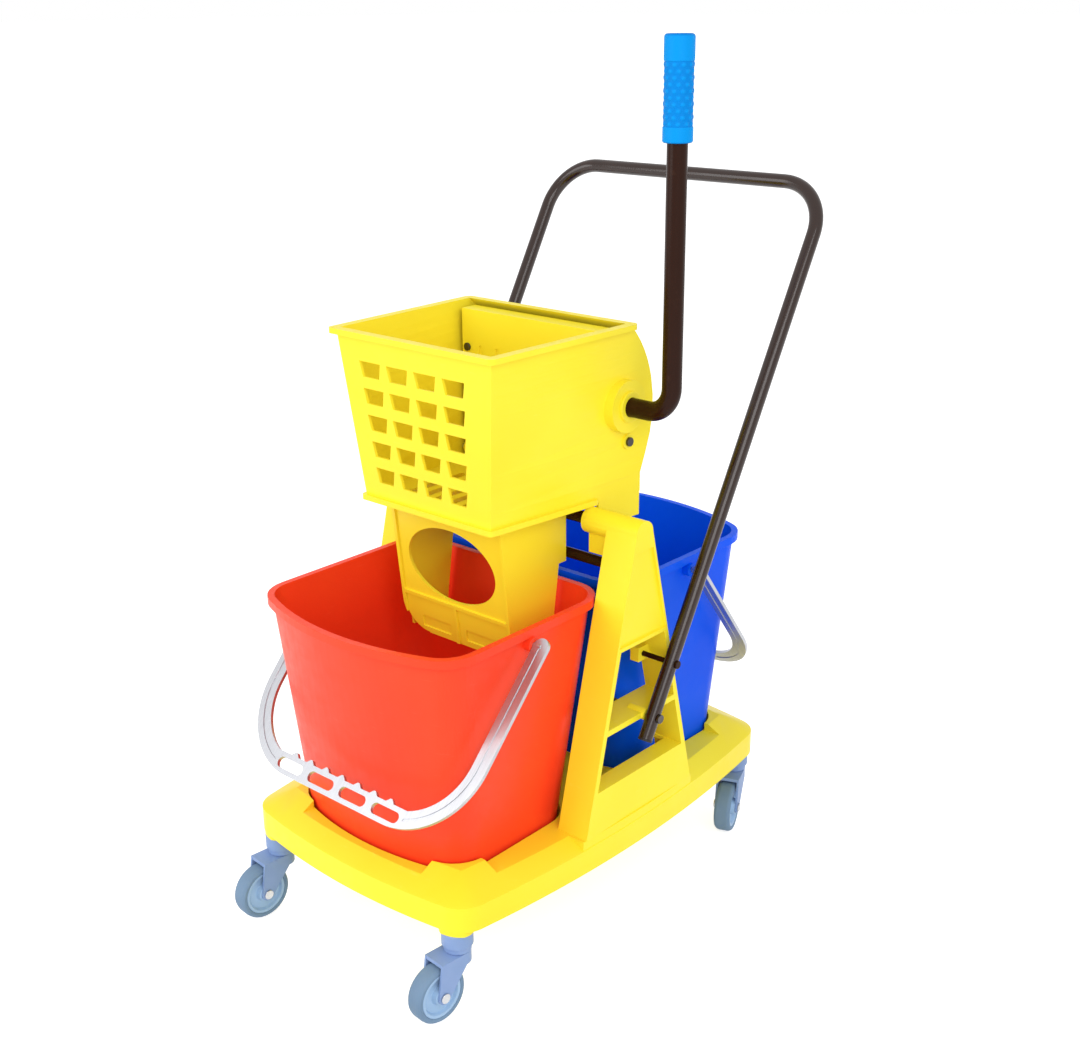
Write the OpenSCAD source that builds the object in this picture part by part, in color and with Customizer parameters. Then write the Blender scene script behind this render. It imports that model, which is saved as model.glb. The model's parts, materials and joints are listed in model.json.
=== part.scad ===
// Double mop bucket trolley: a moulded tray on four swivel casters carries two buckets,
// two A-shaped side frames, a bent push handle and a lift-off press wringer.
// +X is the lever's side, -Y is the front (red bucket), +Z is up, and the floor is z = 0.
// Millimetres throughout.

/* [Tray] */
// Length of the tray between its corners
tray_len = 628; // [616:1:660]
// Width of the tray at its corners
tray_w = 392; // [386:1:400]
// Radius of the tray's corners in plan
tray_corner_r = 40; // [32:1:48]
// How far each end bows out past the corners
tray_end_bow = 20; // [8:1:24]
// How far the tray's sides reach past the side frames' outer faces
tray_side_lip = 3; // [1:0.5:12]
// Height of the tray's lower edge above the caster bosses' feet
boss_drop = 7; // [4:0.5:10]
// Height of the upright outer face
tray_face_h = 34; // [28:1:40]
// Rise of the sloping top from the outer face to its inner edge
tray_slope_h = 13; // [10:1:18]
// Width of the sloping top in plan
tray_slope_w = 26; // [16:1:34]
// Thickness of the tray's moulded walls
tray_wall = 4; // [3:0.5:6]
// Width of each raised corner block
corner_block = 84; // [76:1:100]
// Length of each raised corner block
corner_block_len = 76; // [68:1:92]
// Height of the corner blocks above the sloping top's inner edge
corner_block_h = 10; // [6:1:16]
// Room round a bucket in its well
well_gap = 4; // [3:0.5:8]

/* [Casters] */
// Diameter of a caster wheel
wheel_d = 75; // [60:1:80]
// Width of a caster wheel
wheel_w = 24; // [20:1:28]
// Diameter of the hub that carries the tyre
wheel_core_d = 60; // [46:1:64]
// Trail of the wheel's axle behind the swivel
caster_trail = 36; // [28:1:40]
// Height of a caster from the floor to its boss on the tray
caster_h = 112; // [106:1:118]
// Distance of a swivel from the tray's sides at the corners
caster_inset_x = 27; // [24:1:34]
// Distance of a swivel from the tray's ends at the corners
caster_inset_y = 16; // [16:1:26]
// Diameter of the fixed collar on the swivel
collar_d = 40; // [32:1:42]
// Diameter of the swivel stem
stem_d = 11; // [8:0.5:12]
// Height of the stem above the tray's underside
stem_up = 36; // [24:1:38]
// Diameter of the wheel axle
axle_d = 8; // [6:0.5:10]
// Thickness of the fork's plates
fork_plate = 3; // [2.5:0.5:4]
// Resting angle of the front casters
front_turn = -5; // [-20:1:20]
// Resting angle of the rear left caster
rear_left_turn = 10; // [-20:1:30]
// Resting angle of the rear right caster
rear_right_turn = 21; // [-20:1:30]

/* [Side frames] */
// Distance between the outer faces of the side frames
frame_span = 440; // [434:1:442]
// Depth of a side frame across the trolley
frame_depth = 48; // [40:1:50]
// Half of a side frame's length at its foot
frame_foot_half = 112; // [100:1:118]
// Thickness of the flanges along the legs
frame_flange = 8; // [6:0.5:11]
// Thickness of the webs and ribs
frame_web = 5; // [4:0.5:7]
// How deep the upper panel is sunk below the outer face
panel_recess = 4; // [2:0.5:6]
// Height of the sill above the foot
sill_h = 60; // [50:1:66]
// Depth of the sill's top
sill_depth = 27; // [20:1:34]
// Height of the lower window
lower_window_h = 73; // [64:1:80]
// Thickness of the shelf between the windows
shelf_h = 8; // [6:0.5:12]
// Height of the upper window
upper_window_h = 100; // [90:1:106]
// Height of the socket's axis above the floor
socket_z = 553; // [540:1:565]
// Diameter of the sockets at the top of the frames
socket_d = 34; // [30:1:38]
// How far the sockets reach in past the frames
socket_reach = 42; // [40:1:44]
// Diameter of the upper cross tube
upper_tube_d = 16; // [12:0.5:17]
// Diameter of the lower cross bar
lower_bar_d = 14; // [10:0.5:15]
// Distance of the lower cross bar below the upper tube
lower_bar_drop = 54; // [46:1:58]

/* [Push handle] */
// Diameter of the handle's tube
handle_tube_d = 19; // [16:0.5:22]
// Wall of the handle's tube
handle_tube_wall = 1.5; // [1:0.1:2.5]
// Gap between the handle's legs and the side frames
handle_side_gap = 3.5; // [1:0.1:6]
// Height of the top bar's axis
handle_top_z = 945; // [920:1:970]
// Distance of the top bar's axis behind the trolley's middle
handle_top_y = 373; // [350:1:390]
// Height of the lower ends of the legs
handle_end_z = 277; // [266:1:284]
// Distance of the lower ends in front of the trolley's middle
handle_end_y = 9; // [6:1:14]
// Bend radius of the handle's upper corners
handle_bend_r = 70; // [45:1:90]
// Height of the stay rods above the floor
stay_z = 367; // [360:1:374]
// Diameter of the stay rods
stay_d = 7; // [5:0.5:8]
// Diameter of the handle bolts
handle_bolt_d = 6; // [5:0.5:8]

/* [Buckets] */
// Width of a bucket over its wall at the rim
bucket_top_w = 338; // [326:1:338]
// Width of a bucket at its bottom
bucket_bottom_w = 296; // [280:1:304]
// Length of a bucket's straight side at the rim
bucket_top_len = 274; // [256:1:278]
// Length of a bucket's straight side at the bottom
bucket_bottom_len = 196; // [180:1:206]
// How far the outer end bows out at the rim
bucket_top_bow = 40; // [26:1:44]
// How far the outer end bows out at the bottom
bucket_bottom_bow = 26; // [14:1:30]
// How much further from the middle the inner wall stands at the bottom than at the rim
bucket_inner_lean = 51; // [40:1:56]
// Height of a bucket
bucket_h = 343; // [332:1:348]
// Radius of a bucket's upright corners
bucket_corner_r = 46; // [34:1:56]
// Wall of a bucket
bucket_wall = 3; // [2.5:0.5:4]
// Width of the rolled rim
bucket_lip_w = 6; // [4:0.5:8]
// Height of the rolled rim
bucket_lip_h = 11; // [8:0.5:14]
// Gap between the rims of the two buckets
bucket_gap = 18; // [17:0.5:26]

/* [Bails] */
// Width of a bail's strap
bail_strap_w = 22; // [18:0.5:23]
// Thickness of a bail's strap
bail_thick = 5; // [4:0.5:6]
// Distance from the pivot to the middle of the grip
bail_reach = 258; // [252:1:266]
// How far the straps draw in towards the bends
bail_draw_in = 2; // [0:0.5:4]
// Bend radius of a bail's corners
bail_bend_r = 98; // [86:1:102]
// Angle of the resting red bail from straight down
red_bail_angle = 42; // [39:0.5:48]
// Angle of the resting blue bail from straight down
blue_bail_angle = 38; // [38:0.5:48]
// Distance of the bail's pivot below the rim
bail_drop = 20; // [19:0.5:26]
// Diameter of the bail's pivot pins
bail_pin_d = 7; // [6:0.5:8]
// Height of the grip plate
grip_plate_h = 27; // [25:1:30]
// Number of moulded slots in the grip
grip_slots = 4; // [3:1:4]
// Length of a grip slot
grip_slot_len = 47; // [38:1:48]
// Width of the bridges between the grip slots
grip_bridge = 12; // [8:0.5:13]
// Height of a grip slot
grip_slot_h = 14; // [9:0.5:15]

/* [Wringer] */
// Height of the hopper's rim above its seat
hopper_h = 226; // [215:1:240]
// Half width of the hopper's front at the seat
hopper_front_low = 110; // [106:1:114]
// Half width of the hopper's front at the rim
hopper_front_top = 133; // [126:1:137]
// Half width of the hopper's rear
hopper_rear_half = 140; // [139:0.5:142]
// Distance of the front wall before the middle at the seat
hopper_front_y = 162; // [158:1:166]
// How far the front wall leans out at the rim
hopper_front_lean = 18; // [10:1:24]
// Distance of the rear wall behind the middle
hopper_rear_y = 92; // [88:1:96]
// How far the rear wall leans in at the rim
hopper_rear_lean = 26; // [18:1:30]
// Height below the rim at which the rear wall starts to lean
hopper_lean_drop = 76; // [60:1:90]
// How far the rear wall bulges out behind the shaft
hopper_bulge = 25; // [18:1:28]
// Wall of the hopper
hopper_wall = 4; // [3:0.5:5]
// Overhang of the rim flange
hopper_rim_w = 9; // [6:0.5:12]
// Height of the rim flange
hopper_rim_h = 7; // [5:0.5:9]
// Overhang of the lower lip
hopper_lip_w = 6; // [5:0.5:8]
// Depth of the skirt behind the sockets
hopper_skirt_h = 33; // [24:1:36]
// Columns of drain holes in the front wall
drain_cols = 4; // [3:1:4]
// Rows of drain holes in the front wall
drain_rows = 5; // [3:1:5]
// Width of a drain hole
drain_w = 39; // [28:1:41]
// Height of a drain hole
drain_h = 20; // [14:1:22]
// Distance between the columns
drain_pitch_x = 50; // [47:1:52]
// Distance between the rows
drain_pitch_z = 35; // [32:1:37]
// Half width of the throat
throat_half_w = 98; // [92:1:99]
// Distance of the throat's front before the middle at its top
throat_front_y = 131; // [126:1:136]
// How far the throat's front leans back at its foot
throat_front_lean = 21; // [14:1:26]
// Height of the throat
throat_h = 192; // [176:1:196]
// Wall of the throat
throat_wall = 4; // [3:0.5:5]
// Width of the oval hole in the throat's front
oval_w = 156; // [120:1:160]
// Height of the oval hole
oval_h = 104; // [80:1:108]

/* [Press and lever] */
// Distance of the lever's shaft behind the middle
shaft_y = 57; // [56:0.5:58]
// Height of the shaft above the hopper's seat
shaft_up = 122; // [116:1:128]
// Diameter of the lever's tube
lever_d = 25; // [22:0.5:26]
// Distance of the upright tube from the middle
lever_x = 214; // [205:1:220]
// Bend radius of the lever
lever_bend_r = 35; // [30:1:38]
// Height of the lever's top above the shaft
lever_up = 450; // [400:1:455]
// Diameter of the lever's grip
grip_d = 36; // [32:0.5:40]
// Length of the lever's grip
grip_len = 121; // [100:1:150]
// Diameter of the bosses round the shaft
boss_d = 68; // [52:1:70]
// Height of the press plate above its hinge
plate_h = 196; // [186:1:197]
// Half width of the press plate
plate_half_w = 124; // [110:1:125]
// Thickness of the press plate
plate_thick = 8; // [7:0.5:9]
// Height of the plate's hinge above the hopper's seat
plate_hinge_up = 22; // [20:1:24]
// Diameter of the plate's hinge rod
hinge_rod_d = 8; // [6:0.5:8]
// Gap between the press plate's back and the shaft
plate_shaft_gap = 1; // [0.6:0.1:1.4]
// Length of the cams from the shaft to the nose
cam_len = 60; // [54:1:62]
// Distance of each cam from the middle
cam_x = 70; // [56:1:80]
// Width of the cams
cam_w = 14; // [10:1:18]
// Turns of the return spring
spring_turns = 6; // [4:1:8]
// Diameter of the spring's wire
spring_wire_d = 3; // [2.5:0.1:3.5]

/* [Hidden] */
$fn = 64;

// Colours
yellow = [0.98, 0.82, 0.10];
red = [0.93, 0.18, 0.07];
blue = [0.02, 0.20, 0.80];
grip_blue = [0.05, 0.52, 0.92];
tube_brown = [0.20, 0.12, 0.08];
caster_grey = [0.58, 0.64, 0.78];
tyre_grey = [0.48, 0.54, 0.68];
bright_metal = [0.88, 0.89, 0.91];
dark_metal = [0.16, 0.14, 0.13];

// Clearances
running_gap = 0.05;
seat_gap = 0.3;
slab = 1;
hull_fn = 32;

// Tray
tray_z = caster_h + boss_drop;
tray_floor_z = tray_z + tray_wall;
tray_crease_z = tray_z + tray_face_h;
tray_top_z = tray_crease_z + tray_slope_h;
tray_side_bow = frame_span / 2 + tray_side_lip - tray_w / 2;
swivel_x = tray_w / 2 - caster_inset_x;
swivel_y = tray_len / 2 - caster_inset_y;

// Side frames
frame_x_out = frame_span / 2;
frame_x_in = frame_x_out - frame_depth;
frame_z0 = tray_top_z;
socket_r = socket_d / 2;
socket_x_in = frame_x_in - socket_reach;
sill_z = frame_z0 + sill_h;
lower_window_z = sill_z + lower_window_h;
shelf_top_z = lower_window_z + shelf_h;
upper_window_z = shelf_top_z + upper_window_h;
lower_bar_z = socket_z - lower_bar_drop;
foot_tongue_h = 14;

// Push handle
handle_rise = handle_top_z - handle_end_z;
handle_run = handle_top_y + handle_end_y;
handle_slope = atan(handle_run / handle_rise);
handle_len = sqrt(handle_rise * handle_rise + handle_run * handle_run);
handle_leg_x = frame_x_out + handle_side_gap + handle_tube_d / 2;
handle_bolt_z = lower_window_z + shelf_h / 2;

// Buckets
bucket_z = tray_floor_z + seat_gap;
bucket_rim_z = bucket_z + bucket_h;
bucket_inner_y = bucket_gap / 2 + bucket_lip_w;
bail_pivot_y = bucket_inner_y + bucket_top_len / 2 + bucket_top_bow / 4;
bail_pivot_z = bucket_rim_z - bail_drop;
ear_reach = 3.4;
ear_x = bucket_top_w / 2 + bucket_lip_w + ear_reach;
bail_half = ear_x + 2 * seat_gap + bail_strap_w / 2;

// Wringer
seat_z = socket_z + socket_r + seat_gap;
rim_z = seat_z + hopper_h;
hopper_floor_z = seat_z + hopper_rim_h;
hopper_lean_z = rim_z - hopper_lean_drop;
shaft_z = seat_z + shaft_up;
shaft_r = lever_d / 2;
bush_wall = 3.5;
bush_flange = 4;
bush_r = shaft_r + running_gap + bush_wall;
boss_reach = 8;
boss_x = hopper_rear_half + boss_reach;
bush_x = boss_x + bush_flange;
cam_gap = 0.3;
plate_back_y = shaft_y - shaft_r - plate_shaft_gap;
plate_front_y = plate_back_y - plate_thick;
plate_hinge_y = plate_back_y - plate_thick / 2;
plate_hinge_z = seat_z + plate_hinge_up;
cam_nose_r = shaft_y - plate_back_y - cam_gap;
throat_top_z = seat_z;
throat_foot_z = throat_top_z - throat_h;
red_lift = 22;

// Flat outline between four bowed arcs, with rounded corners
module tray_plan(inset = 0) {
    half_x = tray_w / 2;
    half_y = tray_len / 2;
    end_r = (half_x * half_x + tray_end_bow * tray_end_bow) / (2 * tray_end_bow);
    side_r = (half_y * half_y + tray_side_bow * tray_side_bow) / (2 * tray_side_bow);
    offset(r = tray_corner_r - inset, $fn = hull_fn * 2)
    offset(delta = -tray_corner_r)
    intersection_for(s = [-1, 1]) {
        intersection() {
            translate([0, s * (half_y + tray_end_bow - end_r)])
                circle(r = end_r, $fn = 360);
            translate([s * (half_x + tray_side_bow - side_r), 0])
                circle(r = side_r, $fn = 360);
        }
    }
}

module tray_body(inset, drop) {
    full_slope_w = tray_slope_w * (tray_slope_h + corner_block_h) / tray_slope_h;
    translate([0, 0, tray_z - drop])
        linear_extrude(tray_face_h - slab)
        tray_plan(inset);
    hull() {
        translate([0, 0, tray_crease_z - drop - slab])
            linear_extrude(slab)
            tray_plan(inset);
        translate([0, 0, tray_top_z + corner_block_h - drop - slab])
            linear_extrude(slab)
            tray_plan(inset + full_slope_w);
    }
}

module at_corners() {
    for (sx = [-1, 1], sy = [-1, 1])
        translate([sx * swivel_x, sy * swivel_y])
        children();
}

// Space above the sloping top everywhere but at the corners
module between_corners() {
    long_half = tray_len / 2 - corner_block_len;
    wide_half = tray_w / 2 - corner_block;
    translate([-tray_w, -long_half, tray_top_z])
        cube([2 * tray_w, 2 * long_half, tray_top_z]);
    translate([-wide_half, -tray_len, tray_top_z])
        cube([2 * wide_half, 2 * tray_len, tray_top_z]);
}

// Outline of a bucket standing on the -Y side: t = 0 at the bottom, 1 at the rim
module bucket_plan(t, grow = 0) {
    half = (bucket_bottom_w + (bucket_top_w - bucket_bottom_w) * t) / 2;
    side = bucket_bottom_len + (bucket_top_len - bucket_bottom_len) * t;
    bow = bucket_bottom_bow + (bucket_top_bow - bucket_bottom_bow) * t;
    inner = bucket_inner_y + bucket_inner_lean * (1 - t);
    arc_r = (half * half + bow * bow) / (2 * bow);
    offset(r = bucket_corner_r + grow, $fn = hull_fn)
    offset(delta = -bucket_corner_r)
    intersection() {
        translate([-half, -inner - side - bow])
            square([half * 2, side + bow]);
        translate([0, -inner - side - bow + arc_r])
            circle(r = arc_r, $fn = 180);
    }
}

// How far up the bucket's height a level lies
function bucket_t(z) = (z - bucket_z) / bucket_h;

module well(grow) {
    offset(delta = grow)
    bucket_plan(bucket_t(tray_top_z));
}

module frame_foot_plan(gap = 0) {
    for (s = [-1, 1])
        translate([s * (frame_x_in + frame_depth / 2), 0])
        square([frame_depth - 2 * frame_flange + 2 * gap, frame_foot_half + 2 * gap], center = true);
}

module frame_screw_places() {
    for (sx = [-1, 1], sy = [-1, 1])
        translate([sx * (frame_x_in + frame_depth / 2), sy * frame_foot_half * 0.3])
        children();
}

screw_d = 6;
screw_head_d = 11;
screw_head_h = 4;
screw_up = foot_tongue_h - 2;
stem_boss_wall = 17;

module tray() {
    boss_r = stem_d / 2 + stem_boss_wall;
    plinth_z = tray_crease_z - tray_slope_h;
    tongue_floor_z = tray_top_z - foot_tongue_h - seat_gap;
    color(yellow)
    difference() {
        union() {
            difference() {
                tray_body(0, 0);
                between_corners();
            }
            // Feet of the caster bosses
            translate([0, 0, caster_h])
                linear_extrude(boss_drop + tray_wall)
                intersection() {
                    tray_plan(slab);
                    at_corners()
                        circle(r = boss_r);
                }
            translate([0, 0, plinth_z])
                linear_extrude(tray_top_z - plinth_z)
                intersection() {
                    tray_plan(slab);
                    for (s = [-1, 1])
                        translate([s * (frame_x_in + frame_depth / 2), 0])
                        square([frame_depth + 2 * tray_wall, 2 * (frame_foot_half + tray_wall)],
                            center = true);
                }
        }
        // The rim and the bridge are hollow from below
        difference() {
            intersection() {
                tray_body(tray_wall, tray_wall);
                translate([-tray_w, -tray_len, 0])
                    cube([2 * tray_w, 2 * tray_len, tray_top_z - tray_wall]);
            }
            for (s = [0, 1])
                mirror([0, s, 0])
                translate([0, 0, tray_z - slab])
                linear_extrude(tray_top_z)
                well(well_gap + tray_wall);
            translate([0, 0, caster_h])
                linear_extrude(tray_top_z)
                at_corners()
                circle(r = boss_r);
            translate([0, 0, tongue_floor_z - tray_wall])
                linear_extrude(tray_top_z)
                frame_foot_plan(tray_wall);
        }
        for (s = [0, 1])
            mirror([0, s, 0])
            translate([0, 0, tray_floor_z])
            linear_extrude(tray_top_z)
            well(well_gap);
        // Pockets for the side frames' tongues
        translate([0, 0, tongue_floor_z])
            linear_extrude(tray_top_z)
            frame_foot_plan(seat_gap);
        at_corners()
            translate([0, 0, caster_h - slab])
            cylinder(d = stem_d + 2 * running_gap, h = stem_up + 2 * slab);
        frame_screw_places()
            cylinder(d = screw_d + 2 * running_gap, h = tray_top_z);
    }
}

// A side frame's outline: straight legs that meet in a rounded top
function leg_y(z) = socket_r
    + (frame_foot_half - socket_r) * (socket_z - z) / (socket_z - frame_z0);

function band(z1, z2, inset) = [
    [-leg_y(z1) + inset, z1],
    [leg_y(z1) - inset, z1],
    [leg_y(z2) - inset, z2],
    [-leg_y(z2) + inset, z2]
];

// Stands a (y, z) outline at height x and extrudes it towards +X
module side_plate(x, depth) {
    translate([x, 0, 0])
        rotate([90, 0, 90])
        linear_extrude(depth)
        children();
}

// The cross-wise cylinder that most pivots and tubes use
module x_rod(x1, x2, y, z, d) {
    translate([x1, y, z])
        rotate([0, 90, 0])
        cylinder(d = d, h = x2 - x1);
}

stay_lug_w = 14;
stay_lug_h = 20;
stay_in_x = frame_x_in + 2;
bar_boss_wall = 4;
bar_end_x = frame_x_out - panel_recess - frame_web;
bar_boss_x = frame_x_in + 14;
upper_tube_end_x = frame_x_out - 8;
stay_y = -handle_end_y + (stay_z - handle_end_z) * handle_run / handle_rise;
handle_bolt_y = -handle_end_y + (handle_bolt_z - handle_end_z) * handle_run / handle_rise;

module side_frame() {
    top_cavity_z = socket_z - socket_r - frame_web;
    gusset_h = 30;
    notch_half = leg_y(sill_z) - frame_flange - frame_web / 2;
    gusset_inset = 6;
    lug_rear_y = leg_y(stay_z) - frame_flange / 2;
    lug_front_y = stay_y - stay_lug_h / 2;
    difference() {
        union() {
            difference() {
                union() {
                    side_plate(frame_x_in, frame_depth)
                        polygon(band(frame_z0, socket_z, 0));
                    x_rod(socket_x_in, frame_x_out, 0, socket_z, socket_d);
                    // Gusset under the socket
                    translate([socket_x_in + gusset_inset, -frame_flange, socket_z - socket_r
                        - 0.8 * gusset_h])
                        cube([frame_x_in - socket_x_in, 2 * frame_flange, gusset_h]);
                    translate([0, 0, frame_z0 - foot_tongue_h])
                        linear_extrude(foot_tongue_h + slab)
                        intersection() {
                            frame_foot_plan();
                            translate([0, -frame_foot_half])
                                square([frame_span, 2 * frame_foot_half]);
                        }
                }
                // Windows through the frame
                side_plate(frame_x_in - slab, frame_depth + 2 * slab)
                    polygon(band(sill_z, lower_window_z, frame_flange));
                side_plate(frame_x_in - slab, frame_depth + 2 * slab)
                    polygon(band(shelf_top_z, upper_window_z, frame_flange));
                // Hollows behind the sill and the upper panel
                side_plate(frame_x_in - slab, frame_depth - frame_web + slab)
                    polygon(band(frame_z0 + frame_web, sill_z - frame_web, frame_flange));
                // The sill's top stops short of the inner face
                side_plate(frame_x_in - slab, frame_depth - sill_depth + slab)
                    translate([-notch_half, sill_z - 2 * frame_web])
                    square([2 * notch_half, 2 * frame_web + slab]);
                side_plate(frame_x_in - slab, frame_depth - frame_web - panel_recess + slab)
                    polygon(band(upper_window_z + frame_web, top_cavity_z, frame_flange));
                // Sunk upper panel
                side_plate(frame_x_out - panel_recess, panel_recess + slab)
                    polygon(band(upper_window_z + frame_web, top_cavity_z, frame_flange / 2));
            }
            // Boss for the lower cross bar, on the back of the panel
            x_rod(bar_boss_x, bar_end_x + slab, 0, lower_bar_z, lower_bar_d + 2 * bar_boss_wall);
            // Lug for the stay rod, on the rear leg
            translate([stay_in_x, lug_front_y, stay_z - stay_lug_h / 2])
                cube([stay_lug_w, lug_rear_y - lug_front_y, stay_lug_h]);
            // Boss for the handle bolt, along the shelf
            x_rod(frame_x_out - frame_depth / 2, frame_x_out + handle_side_gap - seat_gap, handle_bolt_y,
                handle_bolt_z, handle_bolt_d + 2 * frame_web);
        }
        x_rod(socket_x_in - slab, upper_tube_end_x, 0, socket_z, upper_tube_d + 2 * running_gap);
        x_rod(bar_boss_x - slab, bar_end_x - slab, 0, lower_bar_z, lower_bar_d + 2 * running_gap);
        x_rod(frame_x_in, frame_x_in + stay_lug_w + 2 * slab, stay_y, stay_z, stay_d + 2 * running_gap);
        x_rod(frame_x_in - slab, frame_x_out + handle_side_gap, handle_bolt_y, handle_bolt_z,
            handle_bolt_d + 2 * running_gap);
        frame_screw_places()
            cylinder(d = screw_d + 2 * running_gap, h = frame_z0 + frame_web - 1);
    }
}

module right_side_frame() {
    color(yellow)
    side_frame();
}

module left_side_frame() {
    color(yellow)
    mirror([1, 0, 0])
    side_frame();
}

module upper_cross_tube() {
    wall = 1.5;
    color(tube_brown)
    difference() {
        x_rod(-upper_tube_end_x, upper_tube_end_x, 0, socket_z, upper_tube_d);
        x_rod(-frame_span, frame_span, 0, socket_z, upper_tube_d - 2 * wall);
    }
}

module lower_cross_bar() {
    end_x = bar_end_x - slab;
    color(tube_brown)
    x_rod(-end_x, end_x, 0, lower_bar_z, lower_bar_d);
}

// Screws that go up through the tray into the side frames' tongues
module frame_screws() {
    under_z = tray_top_z - foot_tongue_h - seat_gap - tray_wall;
    color(dark_metal)
    frame_screw_places()
        translate([0, 0, under_z - screw_head_h]) {
            cylinder(d = screw_head_d, h = screw_head_h);
            cylinder(d = screw_d, h = screw_head_h + tray_wall + screw_up);
        }
}

// Lays the handle's own plane, with its legs along +Y, into the trolley
module in_handle_plane() {
    translate([0, -handle_end_y, handle_end_z])
        rotate([90 - handle_slope, 0, 0])
        children();
}

module handle_path(d, below) {
    straight = handle_len - handle_bend_r;
    bar_half = handle_leg_x - handle_bend_r;
    for (s = [-1, 1]) {
        translate([s * handle_leg_x, -below, 0])
            rotate([-90, 0, 0])
            cylinder(d = d, h = straight + below);
        translate([s * bar_half, straight, 0])
            rotate([0, 0, s > 0 ? 0 : 90])
            rotate_extrude(angle = 90)
            translate([handle_bend_r, 0])
            circle(d = d);
    }
    translate([-bar_half, handle_len, 0])
        rotate([0, 90, 0])
        cylinder(d = d, h = 2 * bar_half);
}

module push_handle() {
    color(tube_brown)
    difference() {
        in_handle_plane()
            difference() {
                handle_path(handle_tube_d, 0);
                handle_path(handle_tube_d - 2 * handle_tube_wall, slab);
            }
        x_rod(-frame_span, frame_span, stay_y, stay_z, stay_d + 2 * running_gap);
        x_rod(-frame_span, frame_span, handle_bolt_y, handle_bolt_z, handle_bolt_d + 2 * running_gap);
    }
}

plug_in = 16;
plug_out = 3;

module handle_end_plugs() {
    bore_d = handle_tube_d - 2 * handle_tube_wall;
    color(dark_metal)
    in_handle_plane()
        for (s = [-1, 1])
            translate([s * handle_leg_x, 0, 0])
            rotate([-90, 0, 0]) {
                cylinder(d = bore_d - 2 * running_gap, h = plug_in);
                translate([0, 0, -plug_out])
                    cylinder(d = handle_tube_d, h = plug_out);
            }
}

module handle_bolts() {
    head_d = 12;
    head_h = 4;
    nut_h = 5;
    nut_x = frame_x_in - nut_h;
    head_x = handle_leg_x + handle_tube_d / 2;
    color(bright_metal)
    for (s = [0, 1])
        mirror([s, 0, 0]) {
            x_rod(nut_x, head_x, handle_bolt_y, handle_bolt_z, handle_bolt_d);
            x_rod(head_x, head_x + head_h, handle_bolt_y, handle_bolt_z, head_d);
            x_rod(nut_x, frame_x_in, handle_bolt_y, handle_bolt_z, head_d);
        }
}

module handle_stay_rods() {
    head_d = 11;
    head_h = 3;
    head_x = handle_leg_x + handle_tube_d / 2;
    color(tube_brown)
    for (s = [0, 1])
        mirror([s, 0, 0]) {
            x_rod(stay_in_x, head_x, stay_y, stay_z, stay_d);
            x_rod(head_x, head_x + head_h, stay_y, stay_z, head_d);
        }
}

// Casters: one set of pieces at the swivel, turned to each caster's resting angle
axle_z = wheel_d / 2;
fork_top_z = wheel_d + 9;
fork_inner_half = wheel_w / 2 + 2;
fork_outer_half = fork_inner_half + fork_plate;
axle_end_r = 9;
fork_nose_y = caster_trail + 2;
fork_skirt = 16;
fork_waist = 14;
rivet_head_d = 18;
rivet_head_h = 4;
fork_roof = 5;

module caster_stem() {
    step_h = 8;
    step_d = collar_d - 5;
    color(caster_grey) {
        translate([0, 0, fork_top_z + seat_gap])
            cylinder(d = step_d, h = step_h);
        translate([0, 0, fork_top_z + seat_gap + step_h])
            cylinder(d = collar_d, h = caster_h - fork_top_z - seat_gap - step_h);
        translate([0, 0, fork_top_z - fork_roof - seat_gap - rivet_head_h])
            cylinder(d = stem_d, h = caster_h + stem_up - fork_top_z + fork_roof + seat_gap
                + rivet_head_h);
        translate([0, 0, fork_top_z - fork_roof - seat_gap - rivet_head_h])
            cylinder(d = rivet_head_d, h = rivet_head_h);
    }
}

module caster_fork() {
    color(caster_grey)
    difference() {
        union() {
            // Roof with a square nose over the wheel and a round heel
            translate([0, 0, fork_top_z - fork_roof])
                linear_extrude(fork_roof) {
                    translate([-fork_outer_half, -fork_nose_y])
                        square([2 * fork_outer_half, fork_nose_y]);
                    circle(r = fork_outer_half);
                }
            for (s = [-1, 1])
                translate([s > 0 ? fork_inner_half : -fork_outer_half, 0, 0])
                rotate([90, 0, 90])
                linear_extrude(fork_plate) {
                    polygon([
                        [-fork_nose_y, fork_top_z],
                        [0, fork_top_z],
                        [2, fork_top_z - fork_waist],
                        [-caster_trail + axle_end_r * 0.8, axle_z - axle_end_r * 0.6],
                        [-caster_trail - axle_end_r, axle_z]
                    ]);
                    translate([-caster_trail, axle_z])
                        circle(r = axle_end_r);
                }
            // Round skirt below the heel
            translate([0, 0, fork_top_z - fork_skirt])
                linear_extrude(fork_skirt)
                intersection() {
                    difference() {
                        circle(r = fork_outer_half);
                        circle(r = fork_inner_half);
                    }
                    translate([-fork_outer_half, 0])
                        square(2 * fork_outer_half);
                }
        }
        cylinder(d = stem_d + 2 * running_gap, h = caster_h);
        x_rod(-wheel_d, wheel_d, -caster_trail, axle_z, axle_d + 2 * running_gap);
    }
}

module caster_axle() {
    head_d = 13;
    head_h = 2.5;
    color(bright_metal) {
        x_rod(-fork_outer_half, fork_outer_half, -caster_trail, axle_z, axle_d);
        for (s = [0, 1])
            mirror([s, 0, 0])
            x_rod(fork_outer_half, fork_outer_half + head_h, -caster_trail, axle_z, head_d);
    }
}

// Turns an (axial, radial) outline about the wheel's axle
module about_axle() {
    translate([0, -caster_trail, axle_z])
        rotate([0, 90, 0])
        rotate_extrude($fn = 72)
        children();
}

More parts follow.
